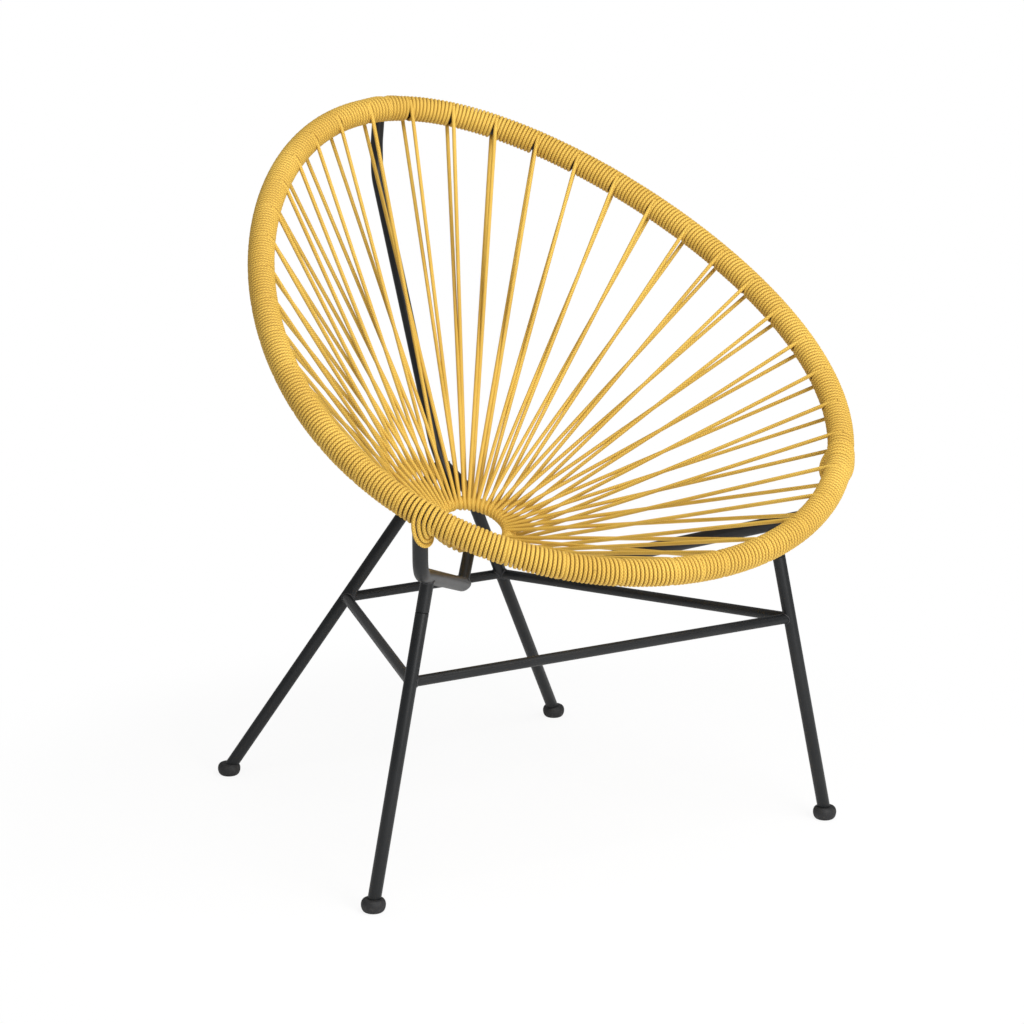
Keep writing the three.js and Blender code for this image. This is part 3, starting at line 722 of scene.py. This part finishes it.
def strand_end(strand, run, sign):
    """The angle round the hoop where a cord of the strand meets it, and the middle of the cord there."""
    on_hoop, heading, outward = hoop_at(run)
    lift = towards(on_hoop, hub_at(strand_turn(strand))[0]).cross(heading).normalized()
    lift *= math.copysign(1, lift.dot(HOOP_UP)) * sign
    angle = math.atan2(lift.dot(HOOP_UP), lift.dot(outward))
    return angle % TURN, on_hoop + lift * CORD_LIFT


def round_hoop(run, angle):
    place, _, outward = hoop_at(run)
    return place + (outward * math.cos(angle) + HOOP_UP * math.sin(angle)) * CORD_LIFT


def strand_line(strand):
    """From the winding over the hoop, down under the hub ring, up round it, back and under the hoop."""
    run = strand_run(strand)
    leave, top = strand_end(strand, run + HOOP_LACE, 1)
    arrive, bottom = strand_end(strand, run - HOOP_LACE, -1)
    on_hub, along, outward = hub_at(strand_turn(strand))
    straight = towards(hoop_at(run)[0], on_hub)
    hub_lift = straight.cross(along).normalized()
    hub_lift *= math.copysign(1, hub_lift.dot(HUB_UP))
    inward = along.cross(hub_lift).normalized()
    inward *= -math.copysign(1, inward.dot(outward))
    wrap = []
    for i in range(WRAP_STEPS + 1):
        angle = math.pi * (1 - i / WRAP_STEPS)
        beside = on_hub + along * (HUB_LACE * (1 - 2 * i / WRAP_STEPS))
        wrap.append(beside + (hub_lift * math.cos(angle) + inward * math.sin(angle)) * WRAP_LIFT)
    down, back = towards(top, wrap[0]), towards(bottom, wrap[-1])
    line = curve_between(round_hoop(run + WINDING_GAP, leave - TUCK), top, top + down * EASE, TUCK_STEPS)
    line += wrap
    tucked = round_hoop(run - WINDING_GAP, arrive + TUCK)
    line += curve_between(bottom + back * EASE, bottom, tucked, TUCK_STEPS)
    return line, leave, arrive


class Stretches:
    """The lines of one panel's cord, with what the winding needs to know at each point."""

    def __init__(self):
        self.lines, self.turns, self.angles, self.outwards = [], [], [], []

    def strand(self, line):
        self.lines.append(line)
        self.turns += [0.0] * len(line)
        self.angles += [0.0] * len(line)
        self.outwards += [UP] * len(line)

    def winding(self, whole, start_run, end_run):
        """The part of a whole winding that lies from start_run to end_run."""
        from_run, from_angle, to_run, to_angle = whole
        steps = max(LEAST_WOUND_STEPS, int((end_run - start_run) / WOUND_STEP))
        line = []
        for i in range(steps + 1):
            run = start_run + (end_run - start_run) * i / steps
            place, _, outward = hoop_at(run)
            line.append(place)
            share = (run - from_run) / (to_run - from_run)
            self.angles.append(from_angle + (to_angle - from_angle) * share)
            self.outwards.append(outward)
        self.turns += [abs(self.angles[-1] - self.angles[-1 - steps]) / TURN] * len(line)
        self.lines.append(line)

    def as_object(self, name, side):
        return lines_object(name, [on_side(line, side) for line in self.lines],
                            numbers={"turns": self.turns, "angle": self.angles},
                            vectors={"outward": on_side(self.outwards, side)})


# Cuff over the arm's joint: its turns start over the top like the winding and droop in front of the arm

_, ARM_ALONG, ARM_OUTWARD = hoop_at(ARM_RUN)
ARM_HEADING = towards(ARM_ROOT, ELBOW)
ARM_DOWN = -ARM_HEADING.dot(HOOP_UP)
ARM_LEAN = ARM_HEADING.dot(ARM_ALONG) / ARM_DOWN
CUFF_PASS = (ARM_TUBE / 2 + CORD / 2 + CUFF_CLEARANCE) * math.hypot(1, ARM_LEAN)
CUFF_LOWEST = math.atan2(-ARM_HEADING.dot(ARM_OUTWARD), ARM_DOWN)
CUFF_FIRST = -CUFF_PITCH / 4 - CUFF_START
CUFF_LAST = CUFF_FIRST + CUFF_TURNS * CUFF_PITCH


def cuff_line():
    line = []
    for i in range(CUFF_TURNS * CUFF_STEPS + 1):
        turns = i / CUFF_STEPS - 0.25
        angle = TURN * turns
        low = ((1 - math.cos(angle - CUFF_LOWEST)) / 2) ** CUFF_DROOP_POWER
        along = turns * CUFF_PITCH - CUFF_START
        nest = (CUFF_TURNS - 0.5 - turns) * CUFF_NEST
        radius = CORD_LIFT + CUFF_CLEARANCE + nest * math.sin(math.pi / 2 * low)
        shift = along * math.cos(math.pi / 2 * low) + (CUFF_PASS + ARM_LEAN * radius) * low
        place, _, outward = hoop_at(ARM_RUN + shift)
        line.append(place + HOOP_UP * (radius * math.cos(angle)) + outward * (radius * math.sin(angle)))
    return line


STRANDS = [strand_line(strand) for strand in range(STRANDS_A_SIDE)]
TOP_SEAM = math.radians(270)
FRONT_SEAM = math.radians(270)
SEAM_STEP = 0.6 * MM


def windings():
    """The stretches of winding down one side: first run and angle, then last run and its lesser angle."""
    opens, closes = [(0.0, TOP_SEAM)], []
    for strand, (_, leave, arrive) in enumerate(STRANDS):
        if strand == STRANDS_BEHIND:
            closes.append((ARM_RUN + CUFF_FIRST, math.pi))
            opens.append((ARM_RUN + CUFF_LAST, math.pi))
        closes.append((strand_run(strand) - WINDING_GAP, arrive + TUCK))
        opens.append((strand_run(strand) + WINDING_GAP, leave - TUCK))
    closes.append((FRONT_RUN, FRONT_SEAM))
    whole = []
    for (start, first_angle), (end, last_angle) in zip(opens, closes):
        part = (first_angle - last_angle) % TURN
        turns = max(0, round((end - start) / CORD_PITCH - part / TURN))
        whole.append((start, first_angle, end, first_angle - part - TURN * turns))
    return whole


WINDINGS = windings()


def seam_windings():
    """Half a turn at the top and at the front that closes the seam where the two sides' windings meet."""
    top_angle, front_angle = WINDINGS[0][1], WINDINGS[-1][3]
    return [(-SEAM_STEP, top_angle + math.pi, 0.0, top_angle),
            (FRONT_RUN, front_angle, FRONT_RUN + SEAM_STEP, front_angle - math.pi)]


def panel_stretches(first, last, side):
    """The cord of a panel from its first strand to its last."""
    low, high = border_run(first), border_run(last + 1)
    stretches = Stretches()
    for whole in WINDINGS:
        start, end = max(whole[0], low), min(whole[2], high)
        if end > start:
            stretches.winding(whole, start, end)
    if side == RIGHT:
        for whole in seam_windings():
            if whole[0] <= low <= whole[2] or whole[0] <= high <= whole[2]:
                stretches.winding(whole, whole[0], whole[2])
    for strand in range(first, last + 1):
        stretches.strand(STRANDS[strand][0])
    return stretches


def seat_panel(number, first, last):
    for label, side in SIDES.items():
        made = panel_stretches(first, last, side).as_object(f"seat_cord_{number}_{label}", side)
        baked(made, SEAT_CORD, {
            "Side": float(side), "Seed": 3.0 * number + side, "Material": BRAIDED_CORD})
        settle(made, "cord", f"cord_panel_{number}_{label}")


def seat_cuff():
    cuff = Stretches()
    cuff.strand(cuff_line())
    for label, side in SIDES.items():
        made = cuff.as_object(f"seat_cuff_{label}", side)
        baked(made, SEAT_CORD, {"Corners": CUFF_CORNERS, "Material": BRAIDED_CORD})
        settle(made, "cord", f"cord_cuff_{label}")


def hub_underlay():
    """Close turns of cord round the hub ring, seen between the strands that are laced over them."""
    line = []
    lift = HUB_ROD / 2 + UNDERLAY_ABOVE_RING
    for i in range(UNDERLAY_TURNS * UNDERLAY_STEPS + 1):
        angle = TURN * i / UNDERLAY_STEPS
        on_hub, _, outward = hub_at(angle / UNDERLAY_TURNS)
        line.append(on_hub + (outward * math.cos(angle) + HUB_UP * math.sin(angle)) * lift)
    underlay = Stretches()
    underlay.strand(line)
    settle(baked(underlay.as_object("hub_underlay", RIGHT), SEAT_CORD, {"Material": BRAIDED_CORD}), "cord")


number = 0
for first_strand, how_many in ((0, STRANDS_BEHIND), (STRANDS_BEHIND, STRANDS_AHEAD)):
    for first in range(first_strand, first_strand + how_many, STRANDS_PER_PANEL):
        number += 1
        seat_panel(number, first, min(first + STRANDS_PER_PANEL, first_strand + how_many) - 1)
seat_cuff()
hub_underlay()


# Frame tubes

def bar(name, line, diameter, closed=False, material=POWDER_COAT, **settings):
    """Round bar along a line; settings are inputs of its tree."""
    made = lines_object(name, [line], closed)
    return baked(made, BAR, {"Radius": diameter / 2, "Material": material, **settings})


def turned(name, profile, base, direction, material, steps=LATHE_STEPS):
    """Turned piece: profile rows are radius and distance from the base, and both ends lie on the axis."""
    shape = bmesh.new()
    turn = UP.rotation_difference(direction).to_matrix().to_4x4()
    place = Matrix.Translation(base) @ turn
    row = [shape.verts.new((r, 0, along)) for r, along in profile]
    line = [shape.edges.new(pair) for pair in zip(row, row[1:])]
    bmesh.ops.spin(shape, geom=row + line, cent=(0, 0, 0), axis=UP, angle=TURN, steps=steps, use_merge=True)
    bmesh.ops.remove_doubles(shape, verts=shape.verts, dist=MERGE_DISTANCE)
    bmesh.ops.recalc_face_normals(shape, faces=shape.faces)
    shape.transform(place)
    for face in shape.faces:
        face.smooth = True
    mesh = bpy.data.meshes.new(name)
    shape.to_mesh(mesh)
    shape.free()
    mesh.materials.append(material)
    made = bpy.data.objects.new(name, mesh)
    bpy.context.scene.collection.objects.link(made)
    return made


def trimmed(made, place, facing):
    """The object without what lies beyond a plane, closed where it is cut."""
    shape = bmesh.new()
    shape.from_mesh(made.data)
    cut = bmesh.ops.bisect_plane(shape, geom=shape.verts[:] + shape.edges[:] + shape.faces[:],
                                 dist=MERGE_DISTANCE, plane_co=place, plane_no=facing, clear_outer=True)
    edges = [part for part in cut["geom_cut"] if isinstance(part, bmesh.types.BMEdge)]
    bmesh.ops.contextual_create(shape, geom=edges)
    bmesh.ops.recalc_face_normals(shape, faces=shape.faces)
    shape.to_mesh(made.data)
    shape.free()
    return made


def rounded_rim(radius, length):
    """Profile of a bar with its rim rounded at both ends, for a seam that catches the light."""
    lower = []
    for degrees in (90, 60, 30, 0):
        angle = math.radians(degrees)
        lower.append((radius - SEAM_EDGE * (1 - math.cos(angle)), SEAM_EDGE * (1 - math.sin(angle))))
    upper = [(r, length - along) for r, along in reversed(lower)]
    return [(0, 0)] + lower + upper + [(0, length)]


HOOP_LINE = [hoop_at(HOOP_ROUND * i / HOOP_STEPS)[0] for i in range(HOOP_STEPS)]
HUB_LINE = [hub_at(TURN * i / HUB_STEPS)[0] for i in range(HUB_STEPS)]
ROD_LINE = [ROD_START + towards(SPINE_END, SPINE_KNEE) * (SPINE_TUBE / 2), SPINE_END]
settle(bar("hoop_bar", HOOP_LINE, HOOP_TUBE, closed=True), "frame", "hoop_tube")
settle(bar("hub_ring_bar", HUB_LINE, HUB_ROD, closed=True, Corners=RING_CORNERS), "frame", "hub_ring")
settle(bar("spine_bar", SPINE_LINE, SPINE_TUBE), "frame", "spine_tube")
settle(bar("spine_rod", ROD_LINE, HUB_ROD), "frame")
TIP_FACING = (towards(ELBOW, ARM_END) - towards(*STRUT_LINE)).normalized()
for label, side in SIDES.items():
    arm = bar(f"arm_bar_{label}", on_side(ARM_LINE, side), ARM_TUBE)
    tip, facing = on_side([ARM_END + TIP_FACING * ARM_TIP, TIP_FACING], side)
    settle(trimmed(arm, tip, facing), "frame", f"arm_{label}")
    settle(bar(f"strut_bar_{label}", on_side(STRUT_LINE, side), STRUT_TUBE), "frame", f"hub_strut_{label}")


def leg_and_stub(kind, foot, top, stub_line):
    """A leg tube up to its seam, and the stub that goes on from there."""
    heading = towards(foot, top)
    start = at_height(foot, top, LEG_ABOVE_FLOOR)
    seam = at_height(foot, top, SEAM_HEIGHT)
    profile = rounded_rim(LEG_TUBE / 2, (seam - start).length)
    for label, side in SIDES.items():
        base, way = on_side([start, heading], side)
        leg = turned(f"{kind}_leg_tube_{label}", profile, base, way, POWDER_COAT)
        stub = bar(f"{kind}_stub_bar_{label}", on_side(stub_line, side), LEG_TUBE)
        settle(leg, "frame", f"{kind}_leg_{label}")
        settle(stub, "frame", f"{kind}_stub_{label}")


FRONT_HEADING = towards(FRONT_FOOT, FRONT_LEG_TOP)
REAR_HEADING = towards(REAR_FOOT, REAR_LEGS_MEET)
FRONT_SHOULDER = at_height(FRONT_FOOT, FRONT_LEG_TOP, SEAM_HEIGHT) + FRONT_HEADING * (2 * GAP)
REAR_SHOULDER = at_height(REAR_FOOT, REAR_LEGS_MEET, SEAM_HEIGHT) + REAR_HEADING * (2 * GAP)
IN_SPINE = SPINE_KNEE.lerp(SPINE_END, REAR_STUB_WELD_SHARE)
REAR_STUB_KNEE = REAR_SHOULDER + REAR_HEADING * REAR_STUB_STRAIGHT
REAR_STUB_END = IN_SPINE + towards(IN_SPINE, REAR_STUB_KNEE) * (SPINE_TUBE / 4)
REAR_STUB_LINE = bent_line([REAR_SHOULDER, REAR_STUB_KNEE, REAR_STUB_END], REAR_STUB_BEND)
leg_and_stub("front", FRONT_FOOT, FRONT_LEG_TOP, [FRONT_SHOULDER, FRONT_LEG_TOP])
leg_and_stub("rear", REAR_FOOT, REAR_LEGS_MEET, REAR_STUB_LINE)

for kind, joint in (("front", FRONT_JOINT), ("rear", REAR_JOINT)):
    stretcher = bar(f"{kind}_stretcher_bar", [joint, mirror(joint)], STRETCHER_TUBE)
    settle(stretcher, "frame", f"{kind}_stretcher")
for label, side in SIDES.items():
    stretcher = bar(f"side_stretcher_bar_{label}", on_side([FRONT_JOINT, REAR_JOINT], side), STRETCHER_TUBE)
    settle(stretcher, "frame", f"side_stretcher_{label}")


# Foot caps

def foot_profile(steps=8):
    """A round bulb from its flat bottom to its top."""
    profile = [(0, 0)]
    for i in range(-steps, steps + 1):
        angle = i / steps * math.pi / 2
        end, height = FOOT_TOP_WIDTH, FOOT_HEIGHT - FOOT_MIDDLE
        if i < 0:
            end, height = FOOT_BASE_WIDTH, FOOT_MIDDLE
        radius = end / 2 + (FOOT_WIDTH - end) / 2 * math.cos(angle)
        profile.append((radius, FOOT_MIDDLE + height * math.sin(angle)))
    return profile + [(0, FOOT_HEIGHT)]


for kind, foot in (("front", FRONT_FOOT), ("rear", REAR_FOOT)):
    for label, side in SIDES.items():
        base = (mirror(foot) if side == LEFT else foot) - UP * FOOT_MIDDLE
        cap = turned(f"{kind}_foot_cap_{label}", foot_profile(), base, UP, BLACK_RUBBER, FOOT_LATHE_STEPS)
        settle(cap, "foot", f"{kind}_foot_{label}")


# Weld beads where a tube ends on another

def saddle(place, heading, axis, small, large):
    """Closed line where a tube of radius small, going along heading, meets one of radius large on axis."""
    side = heading.cross(axis).normalized()
    other = heading.cross(side).normalized()
    line = []
    for i in range(WELD_STEPS):
        angle = TURN * i / WELD_STEPS
        corner = side * (small * math.cos(angle)) + other * (small * math.sin(angle))
        across = corner - axis * corner.dot(axis)
        way = heading - axis * heading.dot(axis)
        b = across.dot(way)
        gap = b * b - way.length_squared * (across.length_squared - large * large)
        distance = (-b + math.sqrt(max(gap, 0))) / way.length_squared
        line.append(place + corner + heading * distance)
    return line


def weld(name, place, heading, axis, small, large):
    """A bead round the joint of two tubes, on both sides of the chair."""
    line = saddle(place, heading, axis.normalized(), small, large)
    for seed, (label, side) in enumerate(SIDES.items(), start=2):
        bead = bar(f"weld_{name}_{label}", on_side(line, side), WELD_BEAD, closed=True, material=COATED_WELD,
                   Corners=WELD_CORNERS, Unevenness=WELD_UNEVENNESS, Seed=float(seed))
        settle(bead, "frame")


ARM_AXIS = ARM_END - ELBOW
STRUT_TOP = STRUT_LINE[1]
SIDE_HEADING = towards(FRONT_JOINT, REAR_JOINT)
weld("leg_on_arm", FRONT_LEG_TOP, -FRONT_HEADING, ARM_AXIS, LEG_TUBE / 2, ARM_TUBE / 2)
weld("strut_on_arm", ARM_END, towards(ARM_END, STRUT_TOP), ARM_AXIS, STRUT_TUBE / 2, ARM_TUBE / 2)
weld("strut_on_hub", STRUT_TOP, towards(STRUT_TOP, ARM_END), hub_at(STRUT_TURN)[1], HUB_ROD / 2, HUB_ROD / 2)
weld("side_stretcher_front", FRONT_JOINT, SIDE_HEADING, FRONT_HEADING, STRETCHER_TUBE / 2, LEG_TUBE / 2)
weld("side_stretcher_rear", REAR_JOINT, -SIDE_HEADING, REAR_HEADING, STRETCHER_TUBE / 2, LEG_TUBE / 2)
weld("front_stretcher", FRONT_JOINT, -ACROSS, FRONT_HEADING, STRETCHER_TUBE / 2, LEG_TUBE / 2)
weld("rear_stretcher", REAR_JOINT, -ACROSS, REAR_HEADING, STRETCHER_TUBE / 2, LEG_TUBE / 2)
weld("rear_stub", REAR_STUB_LINE[-1], towards(REAR_STUB_LINE[-1], REAR_STUB_KNEE), SPINE_END - SPINE_KNEE,
     LEG_TUBE / 2, SPINE_TUBE / 2)


# Floor, lamps and camera

FLOOR_REACH = 14.0
FLOOR_DROP = 0.2 * MM
FLOOR_COLOUR = (0.92, 0.92, 0.92, 1)
SHADOW_REACH = 1.6
PLAIN_SHARE = 0.88
ROOM_LIGHT = 0.46
BACKDROP_LIGHT = 1.0
GLOSSY_SHARE = 0.3
SEAT_MIDDLE = (0, 0, 0.4)
CAMERA_PLACE = (-2.05436, -3.4468, 1.40734)
CAMERA_LENS = 117.94
CAMERA_SENSOR = 36
CAMERA_DIP = math.radians(14.12)
CAMERA_SWING = math.radians(-30.52)


def stage_surface(name):
    """Pale matt floor, mostly plain white to the camera near the chair and wholly so further out."""
    made = bpy.data.materials.new(name)
    made.use_nodes = True
    made.node_tree.nodes.clear()
    net = Net(made.node_tree)
    matt = net.make("ShaderNodeBsdfDiffuse", {}, {"Color": FLOOR_COLOUR})
    glow = net.make("ShaderNodeEmission", {}, {"Color": WHITE, "Strength": BACKDROP_LIGHT})
    away = object_place(net).vector("LENGTH", pick="Value")
    seen = net.make("ShaderNodeLightPath", pick="Is Camera Ray")
    further = away.ramp(0.35 * SHADOW_REACH, 0.55 * SHADOW_REACH)
    plain = seen * (PLAIN_SHARE + (1 - PLAIN_SHARE) * further)
    both = net.make("ShaderNodeMixShader", {}, {0: plain, 1: matt, 2: glow})
    end = net.tree.nodes.new("ShaderNodeOutputMaterial")
    net.tree.links.new(both.socket, end.inputs[0])
    return made


floor_mesh = bpy.data.meshes.new("floor")
floor_mesh.from_pydata([(-FLOOR_REACH, -FLOOR_REACH, 0), (FLOOR_REACH, -FLOOR_REACH, 0),
                        (FLOOR_REACH, FLOOR_REACH, 0), (-FLOOR_REACH, FLOOR_REACH, 0)], [], [(0, 1, 2, 3)])
floor_mesh.materials.append(stage_surface("pale_floor"))
floor = bpy.data.objects.new("floor", floor_mesh)
bpy.context.scene.collection.objects.link(floor)
floor.location.z = -FLOOR_DROP


def soft_world():
    """Even light all round. The camera and clear surfaces see plain white, glossy ones a dimmer room."""
    world = bpy.data.worlds.new("studio")
    bpy.context.scene.world = world
    world.use_nodes = True
    world.node_tree.nodes.clear()
    net = Net(world.node_tree)
    ray = net.make("ShaderNodeLightPath", pick="Is Camera Ray")
    glossy = net.other(ray, "Is Glossy Ray")
    clear = net.other(ray, "Is Transmission Ray")
    direct = (ray + clear).at_most(1.0)
    room = glossy * (GLOSSY_SHARE * BACKDROP_LIGHT) + (1 - glossy) * ROOM_LIGHT
    strength = direct * BACKDROP_LIGHT + (1 - direct) * room
    back = net.make("ShaderNodeBackground", {}, {"Color": WHITE, "Strength": strength})
    end = net.tree.nodes.new("ShaderNodeOutputWorld")
    net.tree.links.new(back.socket, end.inputs[0])


def softbox(name, place, size, power):
    light = bpy.data.lights.new(name, "AREA")
    light.shape = "SQUARE"
    light.size = size
    light.energy = power
    lamp = bpy.data.objects.new(name, light)
    bpy.context.scene.collection.objects.link(lamp)
    lamp.location = place
    lamp.rotation_euler = (Vector(SEAT_MIDDLE) - Vector(place)).to_track_quat("-Z", "Y").to_euler()


soft_world()
softbox("overhead_softbox", place=(0.1, -1.5, 2.9), size=2.0, power=74)
softbox("front_softbox", place=(0.1, -4.0, 1.4), size=1.6, power=80)

view = bpy.data.cameras.new("photo_view")
view.lens = CAMERA_LENS
view.sensor_width = CAMERA_SENSOR
view.sensor_fit = "HORIZONTAL"
camera = bpy.data.objects.new("photo_view", view)
bpy.context.scene.collection.objects.link(camera)
camera.location = CAMERA_PLACE
camera.rotation_euler = (math.pi / 2 - CAMERA_DIP, 0, CAMERA_SWING)
bpy.context.scene.camera = camera
bpy.context.scene.view_settings.view_transform = "Standard"
